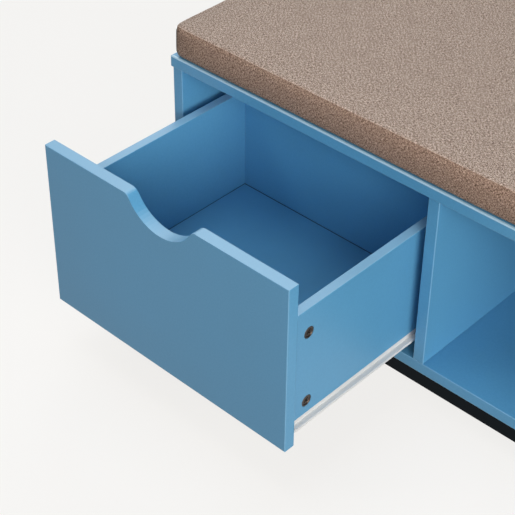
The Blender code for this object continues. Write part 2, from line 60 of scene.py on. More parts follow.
# --- Studio -----------------------------------------------------------------------------------
# A pale floor that glows a little, so that it stays nearly white, and a dim white room.  Five
# softboxes light the bench: from behind on the left, from overhead, from low on the right, and
# from the front on both sides.
camera = bpy.data.objects.new("camera", bpy.data.cameras.new("camera"))
bpy.context.scene.collection.objects.link(camera)
camera.location = (0.70786, -1.12007, 1.20097)
camera.rotation_euler = (0.923475, -0.000646, 0.76495)
camera.data.sensor_width = 36.0
camera.data.lens = 99.93
camera.data.shift_x = 0.035
camera.data.shift_y = -0.060
camera.data.dof.use_dof = False
camera.data.clip_end = 50.0
bpy.context.scene.camera = camera


def place_mesh(name, bm, body=None, smooth=None):
    """Makes an object at the origin from a bmesh that is drawn where the piece lies."""
    bmesh.ops.recalc_face_normals(bm, faces=bm.faces)
    mesh = bpy.data.meshes.new(name)
    bm.to_mesh(mesh)
    bm.free()
    piece = bpy.data.objects.new(name, mesh)
    bpy.context.scene.collection.objects.link(piece)
    if smooth is not None:
        mesh.shade_smooth()
        mesh.set_sharp_from_angle(angle=math.radians(smooth))
    if body:
        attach(piece, body)
    return piece


def blank_material(name):
    """A new material, its node tree, and a function that adds nodes and sets their inputs."""
    mat = bpy.data.materials.new(name)
    mat.use_nodes = True
    tree = mat.node_tree

    def add(kind, inputs=None, **settings):
        made = tree.nodes.new("ShaderNode" + kind)
        for key, value in settings.items():
            setattr(made, key, value)
        for key, value in (inputs or {}).items():
            if isinstance(value, bpy.types.NodeSocket):
                tree.links.new(value, made.inputs[key])
            else:
                made.inputs[key].default_value = value
        return made

    return mat, tree.nodes["Principled BSDF"], tree, add


floor_bm = bmesh.new()
bmesh.ops.create_grid(floor_bm, x_segments=1, y_segments=1, size=9.0)
studio_floor = place_mesh("studio_floor", floor_bm)
floor_mat, floor_shader, tree, add = blank_material("pale_floor")
floor_shader.inputs["Base Color"].default_value = (0.16, 0.16, 0.16, 1.0)
floor_shader.inputs["Roughness"].default_value = 0.9
floor_shader.inputs["Specular IOR Level"].default_value = 0.0
floor_shader.inputs["Emission Color"].default_value = (1.0, 0.99, 0.97, 1.0)
floor_shader.inputs["Emission Strength"].default_value = 0.79
studio_floor.visible_diffuse = False
studio_floor.data.materials.append(floor_mat)

room = bpy.data.worlds.new("white_room")
room.use_nodes = True
room.node_tree.nodes["Background"].inputs["Color"].default_value = (1.0, 1.0, 1.0, 1.0)
room.node_tree.nodes["Background"].inputs["Strength"].default_value = 0.06
bpy.context.scene.world = room
bpy.context.scene.view_settings.view_transform = "Standard"

for name, where, aim, size, watts, tint in (
    ("softbox_behind", (-1.9, 2.1, 1.9), (0.0, 0.0, 0.2), (1.8, 1.6), 34.0, (1.0, 1.0, 1.0)),
    ("softbox_overhead", (-0.5, -0.2, 2.2), (0.0, 0.0, 0.2), (1.4, 1.4), 19.0, (1.0, 1.0, 1.0)),
    ("softbox_right", (2.4, -1.0, 0.8), (0.1, 0.0, 0.2), (1.6, 1.2), 46.0, (1.0, 0.90, 0.81)),
    ("softbox_front_right", (2.0, -2.0, 1.6), (0.0, 0.0, 0.2), (1.6, 1.6), 42.0, (1.0, 0.99, 0.98)),
    ("softbox_front_left", (-1.5, -1.7, 1.9), (0.0, 0.0, 0.3), (0.6, 0.6), 6.0, (1.0, 1.0, 1.0)),
):
    lamp = bpy.data.lights.new(name, "AREA")
    lamp.shape = "RECTANGLE"
    lamp.size, lamp.size_y = size
    lamp.energy = watts
    lamp.color = tint
    stand = bpy.data.objects.new(name, lamp)
    bpy.context.scene.collection.objects.link(stand)
    stand.location = where
    stand.rotation_euler = (Vector(aim) - Vector(where)).to_track_quat("-Z", "Y").to_euler()

# --- Carcass boards ---------------------------------------------------------------------------
# Top, bottom and three uprights: 15 mm particle board, faced and edge-banded in satin blue
# melamine.  The back edges, which face the wall, are left raw.
BLUE = (0.100, 0.345, 0.595)
# painted light: a paler blue painted on the front arrises and on upward faces, where light falls
PAINTED_LIGHT_BLUE = (0.24, 0.49, 0.72)
LIP_HIGHLIGHT_BLUE = (0.42, 0.66, 0.84)
BACK_EDGE = cad_high.y - 0.0004     # everything behind this is a raw edge
LIP_HEIGHT = 0.0018                 # how far the pale arris reaches down the top board's front
LIP_DEPTH = 0.0030                  # and how far back along its top


def ramp(add, fac, stops):
    """A colour ramp from (position, colour) stops, fed by a socket."""
    made = add("ValToRGB", {"Fac": fac})
    bar = made.color_ramp
    while len(bar.elements) < len(stops):
        bar.elements.new(0.5)
    for element, (at, colour) in zip(bar.elements, stops):
        element.position = at
        element.color = (*colour, 1.0) if len(colour) == 3 else colour
    return made.outputs["Color"]


def mix(add, fac, one, two, kind="MIX"):
    """Blends two colours, each given as a value or a socket."""
    made = add("Mix", {"Factor": fac}, data_type="RGBA", blend_type=kind)
    tree = made.id_data
    for socket, value in ((made.inputs[6], one), (made.inputs[7], two)):
        if isinstance(value, bpy.types.NodeSocket):
            tree.links.new(value, socket)
        else:
            socket.default_value = (*value, 1.0) if len(value) == 3 else value
    return made.outputs[2]


def melamine(name, colour, raw_behind=None, painted_light_above=None, lip=None):
    """Satin melamine with a fine print and pebble, and painted light on arrises and, where asked,
    tops.
    """
    mat, shader, tree, add = blank_material(name)
    spot = add("TexCoord").outputs["Object"]
    drift = add("TexNoise", {"Vector": spot, "Scale": 5.0, "Detail": 3.0})
    print_dots = add("TexNoise", {"Vector": spot, "Scale": 420.0, "Detail": 2.0, "Roughness": 0.6})
    shade = ramp(add, drift.outputs["Fac"],
                 [(0.3, tuple(c * 0.96 for c in colour)), (0.7, tuple(c * 1.04 for c in colour))])
    dots = ramp(add, print_dots.outputs["Fac"], [(0.35, (0.0, 0.0, 0.0)), (0.65, (1.0, 1.0, 1.0))])
    shade = mix(add, 0.05, shade, dots, "SOFT_LIGHT")
    rough = add("MapRange", {"Value": drift.outputs["Fac"], "To Min": 0.36, "To Max": 0.44})
    pebble = add("TexNoise", {"Vector": spot, "Scale": 900.0, "Detail": 1.0})
    relief = add("Bump", {"Height": pebble.outputs["Fac"], "Strength": 0.10, "Distance": 0.0003})
    if raw_behind is not None:
        # raw particle board where the edge has no band
        flakes = add("TexVoronoi", {"Vector": spot, "Scale": 520.0, "Randomness": 1.0})
        chip = ramp(add, flakes.outputs["Distance"],
                    [(0.0, (0.42, 0.29, 0.17)), (0.5, (0.24, 0.15, 0.08)),
                     (1.0, (0.55, 0.42, 0.27))])
        apart = add("SeparateXYZ", {"Vector": spot})
        behind = add("Math", {0: apart.outputs["Y"], 1: raw_behind}, operation="GREATER_THAN")
        shade = mix(add, behind.outputs[0], shade, chip)
    # painted highlight: the eased front arrises, sloping forwards and sideways, are painted paler
    looks = add("SeparateXYZ", {"Vector": add("NewGeometry").outputs["Normal"]})
    arris = add("Math", {0: looks.outputs["Y"], 1: -0.62, 2: 0.34}, operation="COMPARE")
    arris_highlight_blue = tuple(0.45 * c + 0.55 * e for c, e in zip(colour, PAINTED_LIGHT_BLUE))
    shade = mix(add, arris.outputs[0], shade, arris_highlight_blue)
    if painted_light_above is not None:
        # painted light: faces that look upwards, above a given height, are painted a paler blue
        looks = add("SeparateXYZ", {"Vector": add("NewGeometry").outputs["Normal"]})
        upward = add("MapRange", {"Value": looks.outputs["Z"], "From Min": 0.72, "From Max": 0.96})
        apart = add("SeparateXYZ", {"Vector": spot})
        high = add("Math", {0: apart.outputs["Z"], 1: painted_light_above}, operation="GREATER_THAN")
        band = add("Math", {0: upward.outputs[0], 1: high.outputs[0]}, operation="MULTIPLY")
        shade = mix(add, band.outputs[0], shade, PAINTED_LIGHT_BLUE)
    if lip is not None:
        # painted highlight: the rounded upper front arris, a height up and a depth forward, is
        # paler still
        apart = add("SeparateXYZ", {"Vector": spot})
        high = add("Math", {0: apart.outputs["Z"], 1: lip[0]}, operation="GREATER_THAN")
        fore = add("Math", {0: apart.outputs["Y"], 1: lip[1]}, operation="LESS_THAN")
        rounded = add("Math", {0: high.outputs[0], 1: fore.outputs[0]}, operation="MULTIPLY")
        shade = mix(add, rounded.outputs[0], shade, LIP_HIGHLIGHT_BLUE)
    tree.links.new(shade, shader.inputs["Base Color"])
    tree.links.new(rough.outputs[0], shader.inputs["Roughness"])
    tree.links.new(relief.outputs["Normal"], shader.inputs["Normal"])
    shader.inputs["Specular IOR Level"].default_value = 0.42
    return mat


def dress(mat, *names):
    """Gives CAD nodes a finish through their material slots."""
    for name in names:
        for holder in nodes[name].material_slots:
            holder.link = "OBJECT"
            holder.material = mat


# painted highlight: the top board's upper front arris is painted paler
board_low, board_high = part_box("top_panel")
carcass_blue = melamine("blue_melamine_carcass", BLUE, BACK_EDGE, None,
                        (board_high.z - LIP_HEIGHT, board_low.y + LIP_DEPTH))
dress(carcass_blue, "top_panel", "bottom_panel", "left_side_panel", "divider_panel",
      "right_side_panel")

# --- Back board -------------------------------------------------------------------------------
# One sheet of 3 mm hardboard, let into a rebate round the back of the carcass.  It is lacquered
# blue towards the bays and bare brown towards the wall.
# painted shadow: the dark line painted where a board enters a groove
JOINT_SHADOW = 0.0009          # half the width of the dark line where a board enters a groove


def hardboard(name, colour, bare_axis, bare_from, sign=1.0, walls=None):
    """Hardboard, lacquered on one side of a level along an axis and bare brown on the other."""
    mat, shader, tree, add = blank_material(name)
    spot = add("TexCoord").outputs["Object"]
    drift = add("TexNoise", {"Vector": spot, "Scale": 8.0, "Detail": 4.0})
    front = ramp(add, drift.outputs["Fac"],
                 [(0.3, tuple(c * 0.94 for c in colour)), (0.7, tuple(c * 1.04 for c in colour))])
    fibre = add("TexNoise", {"Vector": spot, "Scale": 260.0, "Detail": 6.0, "Roughness": 0.7})
    bare = ramp(add, fibre.outputs["Fac"], [(0.3, (0.20, 0.12, 0.06)), (0.7, (0.40, 0.27, 0.15))])
    apart = add("SeparateXYZ", {"Vector": spot})
    side = add("Math", {0: apart.outputs[bare_axis], 1: bare_from},
               operation="GREATER_THAN" if sign > 0 else "LESS_THAN")
    if walls:
        # painted shadow: the joint where the board runs into the grooves of the boards around it
        for axis, near in (("X", walls[0]), ("X", walls[1]), ("Y", walls[2]), ("Y", walls[3])):
            close = add("Math", {0: apart.outputs[axis], 1: near, 2: JOINT_SHADOW}, operation="COMPARE")
            front = mix(add, close.outputs[0], front, tuple(c * 0.12 for c in colour))
    tree.links.new(mix(add, side.outputs[0], front, bare), shader.inputs["Base Color"])
    rough = add("MapRange", {"Value": fibre.outputs["Fac"], "To Min": 0.42, "To Max": 0.6})
    tree.links.new(rough.outputs[0], shader.inputs["Roughness"])
    relief = add("Bump", {"Height": fibre.outputs["Fac"], "Strength": 0.12, "Distance": 0.0003})
    tree.links.new(relief.outputs["Normal"], shader.inputs["Normal"])
    return mat


BARE_SKIN = 0.0005      # the bare side, counted from the outermost face
dress(hardboard("back_hardboard", BLUE, "Y", cad_high.y - BARE_SKIN), "back_panel")

# --- Plinth -----------------------------------------------------------------------------------
# A frame of five rails of matt black board, set back under the bench: one along the front, one
# along the back, and three across, which carry the bottom board.
plinth_mat, shader, tree, add = blank_material("black_plinth_board")
spot = add("TexCoord").outputs["Object"]
scuff = add("TexNoise", {"Vector": spot, "Scale": 60.0, "Detail": 6.0, "Roughness": 0.65})
tree.links.new(ramp(add, scuff.outputs["Fac"],
                    [(0.35, (0.002, 0.0045, 0.007)), (0.8, (0.006, 0.010, 0.014))]),
               shader.inputs["Base Color"])
rough = add("MapRange", {"Value": scuff.outputs["Fac"], "To Min": 0.45, "To Max": 0.65})
tree.links.new(rough.outputs[0], shader.inputs["Roughness"])
shader.inputs["Specular IOR Level"].default_value = 0.06
dress(plinth_mat, "plinth_front_rail", "plinth_back_rail", "plinth_left_rail",
      "plinth_centre_rail", "plinth_right_rail")

# --- Connecting screws ------------------------------------------------------------------------
# Zinc-plated connecting screws with flat countersunk heads and a hex socket: six go down from
# above, under the cushion, and six up from below.


def plated(name, colour, rough):
    """Plated metal with a faint bloom in its colour and gloss."""
    mat, shader, tree, add = blank_material(name)
    spot = add("TexCoord").outputs["Object"]
    bloom = add("TexNoise", {"Vector": spot, "Scale": 700.0, "Detail": 4.0})
    tree.links.new(ramp(add, bloom.outputs["Fac"],
                        [(0.3, tuple(c * 0.82 for c in colour)), (0.7, colour)]),
                   shader.inputs["Base Color"])
    gloss = add("MapRange", {"Value": bloom.outputs["Fac"], "To Min": rough - 0.08,
                             "To Max": rough + 0.1})
    tree.links.new(gloss.outputs[0], shader.inputs["Roughness"])
    shader.inputs["Metallic"].default_value = 1.0
    return mat


def turned(profile, along, at, steps=24):
    """A bmesh turned from (radius, distance) points about an axis that points along a vector."""
    bm = bmesh.new()
    across = along.orthogonal().normalized()
    verts = [bm.verts.new(at + across * radius + along * reach) for radius, reach in profile]
    edges = [bm.edges.new(pair) for pair in zip(verts, verts[1:])]
    bmesh.ops.spin(bm, geom=verts + edges, cent=at, axis=along, angle=2 * math.pi, steps=steps,
                   use_merge=True, use_duplicate=False)
    bmesh.ops.remove_doubles(bm, verts=bm.verts, dist=2e-6)
    return bm


def settle(piece):
    """Applies every modifier on a piece to its mesh."""
    bpy.context.view_layer.update()
    graph = bpy.context.evaluated_depsgraph_get()
    done = bpy.data.meshes.new_from_object(piece.evaluated_get(graph))
    piece.modifiers.clear()
    old = piece.data
    piece.data = done
    bpy.data.meshes.remove(old)


def carve(piece, cutter_bm):
    """Cuts the shape of a bmesh out of a piece."""
    cutter = place_mesh("cutter", cutter_bm)
    cut = piece.modifiers.new("cut", "BOOLEAN")
    cut.solver = "EXACT"
    cut.object = cutter
    settle(piece)
    bpy.data.objects.remove(cutter)


def finish_piece(piece, mat, body, stands_for, smooth=35):
    """Gives a hardware piece its finish and its place in the frame."""
    piece.data.materials.clear()
    piece.data.materials.append(mat)
    piece.data.shade_smooth()
    piece.data.set_sharp_from_angle(angle=math.radians(smooth))
    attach(piece, body)
    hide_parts(stands_for)


def hex_socket(at, along, reach, depth):
    """A six-sided bar that cuts a socket into a head."""
    bm = bmesh.new()
    made = bmesh.ops.create_cone(bm, cap_ends=True, segments=6, radius1=reach, radius2=reach,
                                 depth=2 * depth)
    turn = along.to_track_quat("Z", "Y").to_matrix().to_4x4()
    bmesh.ops.transform(bm, matrix=Matrix.Translation(at) @ turn, verts=made["verts"])
    return bm


def thread(shank, core, start, end, pitch):
    """Profile points of a thread drawn as rings, ending in a blunt point."""
    points = []
    turns = int(abs(end - start) / pitch)
    way = math.copysign(pitch, end - start)
    for k in range(turns):
        points += [(core, start + way * k), (shank, start + way * (k + 0.5))]
    return points + [(core, start + way * turns), (core * 0.4, end), (0.0, end)]


zinc = plated("zinc_plate", (0.60, 0.60, 0.58), 0.32)
UP, DOWN = Vector((0, 0, 1)), Vector((0, 0, -1))
CONNECTOR_LENGTH, CONNECTOR_PITCH = 0.0470, 0.0030
SOCKET_REACH, SOCKET_DEPTH = 0.0023, 0.0024


def head_point(node, along):
    """The middle of a CAD node's face that looks along a direction."""
    low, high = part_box(node)
    return (low + high) / 2 + along * abs((high - low).dot(along)) / 2


for level, along in (("top", UP), ("low", DOWN)):
    for upright in ("left", "divider", "right"):
        for place in ("front", "rear"):
            node = f"{level}_screw_{upright}_{place}"
            head = head_point(node, along)
            shape = [(0.0, 0.0), (0.0046, 0.0), (0.0050, -0.0004), (0.0036, -0.0040),
                     (0.0035, -0.0100)]
            shape += thread(0.0034, 0.0024, -0.0105, -CONNECTOR_LENGTH, CONNECTOR_PITCH)
            screw = place_mesh(node + "_turned", turned(shape, along, head, 18))
            carve(screw, hex_socket(head, along, SOCKET_REACH, SOCKET_DEPTH))
            finish_piece(screw, zinc, "carcass", node)

# --- Cabinet slides ---------------------------------------------------------------------------
# Roll-formed channels with a light grey epoxy coat, screwed to the bay's walls.  Each has a
# riveted axle with a nylon roller at its front end and bent-up stops.
coat_mat, shader, tree, add = blank_material("grey_epoxy_coat")
spot = add("TexCoord").outputs["Object"]
peel = add("TexNoise", {"Vector": spot, "Scale": 1100.0, "Detail": 2.0})
tint = add("TexNoise", {"Vector": spot, "Scale": 30.0, "Detail": 2.0})
coat = ramp(add, tint.outputs["Fac"], [(0.3, (0.66, 0.70, 0.72)), (0.7, (0.74, 0.77, 0.78))])
tree.links.new(coat, shader.inputs["Base Color"])
relief = add("Bump", {"Height": peel.outputs["Fac"], "Strength": 0.15, "Distance": 0.0002})
tree.links.new(relief.outputs["Normal"], shader.inputs["Normal"])
shader.inputs["Roughness"].default_value = 0.35

LEFT, RIGHT = Vector((-1, 0, 0)), Vector((1, 0, 0))
STEEL = 0.0012          # the sheet the slides are rolled from
SCREW_HOLE, PLAIN_HOLE = 0.0025, 0.0022
SLOT_RUN = 0.0030       # how far a slot's round ends are drawn out


def cross_recess(at, along, reach, wide, depth):
    """Two crossed bars that cut a cross recess into a head, one bmesh each."""
    one = along.orthogonal().normalized()
    two = along.cross(one)
    turn = Matrix((one, two, along)).transposed().to_4x4()
    bars = []
    for size, down in (((reach, wide), depth), ((wide, reach), depth * 0.94)):
        bm = bmesh.new()
        made = bmesh.ops.create_cube(bm, size=1.0)
        bmesh.ops.scale(bm, vec=(2 * size[0], 2 * size[1], 2 * down), verts=made["verts"])
        bmesh.ops.transform(bm, matrix=Matrix.Translation(at) @ turn, verts=made["verts"])
        bars.append(bm)
    return bars


def rolled(path, thick, bend, corner, across, start, end, into=None):
    """A sheet bent along (outward, z) points with rounded bends, drawn from one Y to another."""
    bm = into or bmesh.new()
    middle = [Vector(path[0])]
    for before, at, after in zip(path, path[1:], path[2:]):
        before, at, after = Vector(before), Vector(at), Vector(after)
        first = at + (before - at).normalized() * bend
        last = at + (after - at).normalized() * bend
        for k in range(5):
            t = k / 4
            middle.append((1 - t) ** 2 * first + 2 * t * (1 - t) * at + t * t * last)
    middle.append(Vector(path[-1]))
    sides = ([], [])
    for k, point in enumerate(middle):
        run = (middle[min(k + 1, len(middle) - 1)] - middle[max(k - 1, 0)]).normalized()
        off = Vector((-run.y, run.x)) * thick / 2
        sides[0].append(point + off)
        sides[1].append(point - off)
    ring = sides[0] + sides[1][::-1]
    face = bm.faces.new([bm.verts.new((corner.x + across * p.x, start, corner.z + p.y))
                         for p in ring])
    drawn = bmesh.ops.extrude_face_region(bm, geom=[face])
    bmesh.ops.translate(bm, vec=(0, end - start, 0),
                        verts=[v for v in drawn["geom"] if isinstance(v, bmesh.types.BMVert)])
    return bm


def eased_block(bm, size, middle, ease, steps=2):
    """Adds a small block to a bmesh and eases its arrises."""
    made = bmesh.ops.create_cube(bm, size=1.0)["verts"]
    bmesh.ops.scale(bm, vec=size, verts=made)
    bmesh.ops.translate(bm, vec=middle, verts=made)
    bm.edges.index_update()
    edges = sorted({e for v in made for e in v.link_edges}, key=lambda e: e.index)
    bmesh.ops.bevel(bm, geom=edges, offset=ease, segments=steps, affect="EDGES", profile=0.5,
                    material=-1)


def slot_cutter(at, along, radius, half_run, depth=0.004):
    """A round-ended bar along Y that punches a slot, or a hole where the run is nothing."""
    bm = bmesh.new()
    turn = along.to_track_quat("Z", "Y").to_matrix().to_4x4()
    made = bmesh.ops.create_cone(bm, cap_ends=True, segments=20, radius1=radius, radius2=radius,
                                 depth=2 * depth)["verts"]
    bmesh.ops.transform(bm, matrix=Matrix.Translation(at) @ turn, verts=made)
    for vert in made:
        if abs(vert.co.y - at.y) > 1e-5:
            vert.co.y += math.copysign(half_run, vert.co.y - at.y)
    return bm


nylon_mat, shader, tree, add = blank_material("natural_nylon")
spot = add("TexCoord").outputs["Object"]
milk = add("TexNoise", {"Vector": spot, "Scale": 200.0, "Detail": 3.0})
cloudy = ramp(add, milk.outputs["Fac"], [(0.3, (0.70, 0.69, 0.64)), (0.7, (0.80, 0.79, 0.75))])
tree.links.new(cloudy, shader.inputs["Base Color"])
shader.inputs["Roughness"].default_value = 0.42
shader.inputs["Subsurface Weight"].default_value = 0.1
shader.inputs["Subsurface Radius"].default_value = (0.002, 0.002, 0.0015)


WHEEL = 0.0080          # the rollers' radius


def roller(node, body, half):
    """A nylon wheel: hub, dished web and a slightly crowned tread, bored for its axle."""
    low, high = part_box(node)
    bore, dish = 0.0026, half - 0.0007
    shape = [(bore, -half), (0.0042, -half), (0.0044, -dish), (0.0062, -dish), (0.0066, -half),
             (0.0076, -half), (WHEEL - 0.0001, -half + 0.0006), (WHEEL, 0.0),
             (WHEEL - 0.0001, half - 0.0006), (0.0076, half), (0.0066, half), (0.0062, dish),
             (0.0044, dish), (0.0042, half), (bore, half), (bore, -half)]
    wheel = place_mesh(node + "_moulded", turned(shape, RIGHT, (low + high) / 2, 40))
    finish_piece(wheel, nylon_mat, body, node, 30)


for side, out in (("left", RIGHT), ("right", LEFT)):
    low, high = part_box(f"cabinet_slide_{side}")
    wall = Vector((low.x if side == "left" else high.x, 0.0, 0.0))
    skin = STEEL / 2
    path = [(0.0114, low.z + skin), (skin, low.z + skin), (skin, high.z - skin),
            (0.0039, high.z - skin)]
    channel = place_mesh(f"cabinet_slide_{side}_rolled",
                         rolled(path, STEEL, 0.0014, wall, out.x, low.y, high.y))
    rim = head_point(f"cabinet_roller_{side}", UP)
    axle_at = Vector((wall.x, rim.y, rim.z - WHEEL))
    for y, radius, run in ((-0.026, SCREW_HOLE, 0.0), (0.198, SCREW_HOLE, 0.0),
                           (0.030, PLAIN_HOLE, 0.0), (0.062, PLAIN_HOLE, SLOT_RUN),
                           (0.120, PLAIN_HOLE, 0.0), (0.152, PLAIN_HOLE, SLOT_RUN)):
        carve(channel, slot_cutter(Vector((wall.x, y, axle_at.z)), out, radius, run))
    bm = bmesh.new()
    bm.from_mesh(channel.data)
    for start, end, reach in ((-0.0074, -0.0044, 0.0026),
                              (high.y - 0.0016, high.y - 0.0004, 0.0072)):
        ends = sorted((wall.x + out.x * 0.0030, wall.x + out.x * 0.0090))
        foot = Vector((ends[0], start, low.z + 0.0008))
        tip = Vector((ends[1], end, low.z + reach))
        eased_block(bm, tip - foot, (foot + tip) / 2, 0.0003)
    bm.to_mesh(channel.data)
    bm.free()
    finish_piece(channel, coat_mat, "carcass", f"cabinet_slide_{side}")
    rivet = [(0.0, 0.0002), (0.0040, 0.0002), (0.0040, 0.0054), (0.0036, 0.0057),
             (0.0025, 0.0057), (0.0025, 0.0113), (0.0021, 0.0118), (0.0, 0.0118)]
    axle = place_mesh(f"cabinet_slide_{side}_axle", turned(rivet, out, axle_at, 24))
    finish_piece(axle, zinc, "carcass", f"cabinet_slide_{side}")
    roller(f"cabinet_roller_{side}", f"cabinet_wheel_{side}", 0.0027)
    for place in ("front", "rear"):
        node = f"slide_screw_{side}_{place}"
        head = head_point(node, out)
        shape = [(0.0, 0.0), (0.0022, -0.0001), (0.0036, -0.0003), (0.0045, -0.0008),
                 (0.0024, -0.0009)] + thread(0.0024, 0.0016, -0.0012, -0.0140, 0.0016)
        screw = place_mesh(node + "_turned", turned(shape, out, head, 18))
        for bar in cross_recess(head, out, 0.0021, 0.0004, 0.0006):
            carve(screw, bar)
        finish_piece(screw, zinc, "carcass", node)

# --- Drawer box -------------------------------------------------------------------------------
# A 15 mm front with a scooped finger notch, 12 mm sides and back, all faced in the carcass's
# blue, with painted light making their upward faces paler.  The hardboard bottom sits in a
# groove and is bare underneath.
# painted light: upward faces above the slides are painted paler, as if lit from above
drawer_blue = melamine("blue_melamine_drawer", BLUE, None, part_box("drawer_slide_left")[1].z)
dress(drawer_blue, "drawer_front", "drawer_side_left", "drawer_side_right", "drawer_back")
bottom_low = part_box("drawer_bottom")[0]
dress(hardboard("drawer_hardboard", BLUE, "Z", bottom_low.z + 0.0004, -1.0,
                (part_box("drawer_side_left")[1].x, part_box("drawer_side_right")[0].x,
                 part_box("drawer_front")[1].y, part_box("drawer_back")[0].y)), "drawer_bottom")

# --- Cam fittings -----------------------------------------------------------------------------
# Die-cast cams in dark bronze plate, let into the drawer sides, that grip steel bolts standing
# in the front and draw it tight.
bronze = plated("dark_bronze_plate", (0.080, 0.064, 0.055), 0.30)
FRONT, BACK = Vector((0, -1, 0)), Vector((0, 1, 0))
MOUTH = (0.0084, 0.0237, 0.0078)    # the opening in the cam's side that takes the bolt's head
for side, out in (("left", LEFT), ("right", RIGHT)):
    for place in ("low", "high"):
        node = f"cam_{side}_{place}"
        face = head_point(node, out)
        shape = [(0.0, -0.0007), (0.0052, -0.0007), (0.0058, -0.0001), (0.0071, 0.0),
                 (0.0075, -0.0004), (0.0075, -0.0092), (0.0072, -0.0095), (0.0, -0.0095)]
        cam = place_mesh(node + "_cast", turned(shape, out, face, 36))
        for bar in cross_recess(face, out, 0.0040, 0.00075, 0.0023):
            carve(cam, bar)
        mouth = bmesh.new()
        made = bmesh.ops.create_cube(mouth, size=1.0)["verts"]
        bmesh.ops.scale(mouth, vec=MOUTH, verts=made)
        bmesh.ops.translate(mouth, vec=face - out * 0.0074 + FRONT * 0.0083, verts=made)
        carve(cam, mouth)
        finish_piece(cam, bronze, "drawer", node, 30)

        node = f"cam_bolt_{side}_{place}"
        tip = head_point(node, BACK)
        shape = [(0.0, 0.0), (0.0031, 0.0), (0.0033, -0.0003), (0.0033, -0.0030),
                 (0.0024, -0.0046), (0.0024, -0.0262), (0.0033, -0.0266), (0.0033, -0.0294),
                 (0.0025, -0.0298)]
        shape += thread(0.0026, 0.0018, -0.0300, -0.0412, 0.0014)
        bolt = place_mesh(node + "_turned", turned(shape, BACK, tip, 20))
        finish_piece(bolt, zinc, "drawer", node)

# --- Drawer slides ----------------------------------------------------------------------------
# The drawer's halves of the slides: a ledge under the side, a web, and a flange that runs on the
# cabinet roller and ends in a short lip.  A deeper tail carries the drawer's own roller.
FLANGE, LIP = 0.0062, 0.0010        # how far the flange stands out, and its lip hangs down
TAIL = 0.0260
for side, out in (("left", LEFT), ("right", RIGHT)):
    low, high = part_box(f"drawer_slide_{side}")
    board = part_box(f"drawer_side_{side}")
    face = Vector((board[0].x if side == "left" else board[1].x, 0.0, 0.0))
    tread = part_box(f"cabinet_roller_{side}")[1].z + 0.0002
    tail_start = high.y - TAIL
    skin = STEEL / 2
    ledge = high.z - skin
    path = [(-0.0165, ledge), (-0.0009, ledge), (-0.0009, tread + skin), (FLANGE, tread + skin),
            (FLANGE, tread - LIP)]
    rail = place_mesh(f"drawer_slide_{side}_rolled",
                      rolled(path, STEEL, 0.0013, face, out.x, low.y, tail_start))
    for place in ("front", "rear"):
        head = head_point(f"runner_screw_{side}_{place}", DOWN)
        carve(rail, slot_cutter(Vector((head.x, head.y, ledge)), UP, 0.0017, 0.0))
    for y, run in ((low.y + 0.020, SLOT_RUN), (-0.180, 0.0), (-0.130, SLOT_RUN), (-0.100, 0.0)):
        carve(rail, slot_cutter(Vector((face.x - out.x * 0.0080, y, ledge)), UP, 0.0021, run))
    bm = bmesh.new()
    bm.from_mesh(rail.data)
    rolled([(-0.0165, ledge), (-0.0009, ledge), (-0.0009, low.z)], STEEL, 0.0013, face, out.x,
           tail_start, high.y, bm)
    bmesh.ops.recalc_face_normals(bm, faces=bm.faces)
    bm.to_mesh(rail.data)
    bm.free()
    finish_piece(rail, coat_mat, "drawer", f"drawer_slide_{side}")
    wheel_low, wheel_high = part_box(f"drawer_roller_{side}")
    hub = Vector((face.x, (wheel_low.y + wheel_high.y) / 2, (wheel_low.z + wheel_high.z) / 2))
    rivet = [(0.0, -0.0009), (0.0040, -0.0009), (0.0040, 0.0022), (0.0036, 0.0025),
             (0.0025, 0.0025), (0.0025, 0.0095), (0.0021, 0.0099), (0.0, 0.0099)]
    axle = place_mesh(f"drawer_slide_{side}_axle", turned(rivet, out, hub, 24))
    finish_piece(axle, zinc, "drawer", f"drawer_slide_{side}")
    roller(f"drawer_roller_{side}", f"drawer_wheel_{side}", 0.0035)
    for place in ("front", "rear"):
        node = f"runner_screw_{side}_{place}"
        head = head_point(node, DOWN)
        shape = [(0.0, 0.0), (0.0012, 0.0), (0.0020, -0.0004), (0.0024, -0.0012),
                 (0.0015, -0.0013)]
        shape += thread(0.0016, 0.0011, -0.0030, -0.0175, 0.0013)
        screw = place_mesh(node + "_turned", turned(shape, DOWN, head, 18))
        for bar in cross_recess(head, DOWN, 0.0014, 0.0003, 0.0008):
            carve(screw, bar)
        finish_piece(screw, zinc, "drawer", node)

# --- Drawer back screws -----------------------------------------------------------------------
# Zinc-plated countersunk screws with cross recesses, two a side, driven through the drawer sides
# into the ends of its back.
for side, out in (("left", LEFT), ("right", RIGHT)):
    for place in ("low", "high"):
        node = f"back_screw_{side}_{place}"
        head = head_point(node, out)
        shape = [(0.0, 0.0), (0.0036, 0.0), (0.0038, -0.0003), (0.0018, -0.0026),
                 (0.0017, -0.0080)]
        shape += thread(0.0018, 0.0012, -0.0085, -0.0345, 0.0018)
        screw = place_mesh(node + "_turned", turned(shape, out, head, 18))
        for bar in cross_recess(head, out, 0.0022, 0.0004, 0.0014):
            carve(screw, bar)
        finish_piece(screw, zinc, "drawer", node)

# --- Cushion foam -----------------------------------------------------------------------------
# A slab of cream seat foam, cut square and eased at its edges.  It is loose inside the cover, a
# little smaller than it all round.
cover_low, cover_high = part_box("cushion_cover")
cover_mid = (cover_low + cover_high) / 2
cover_half = (cover_high - cover_low) / 2


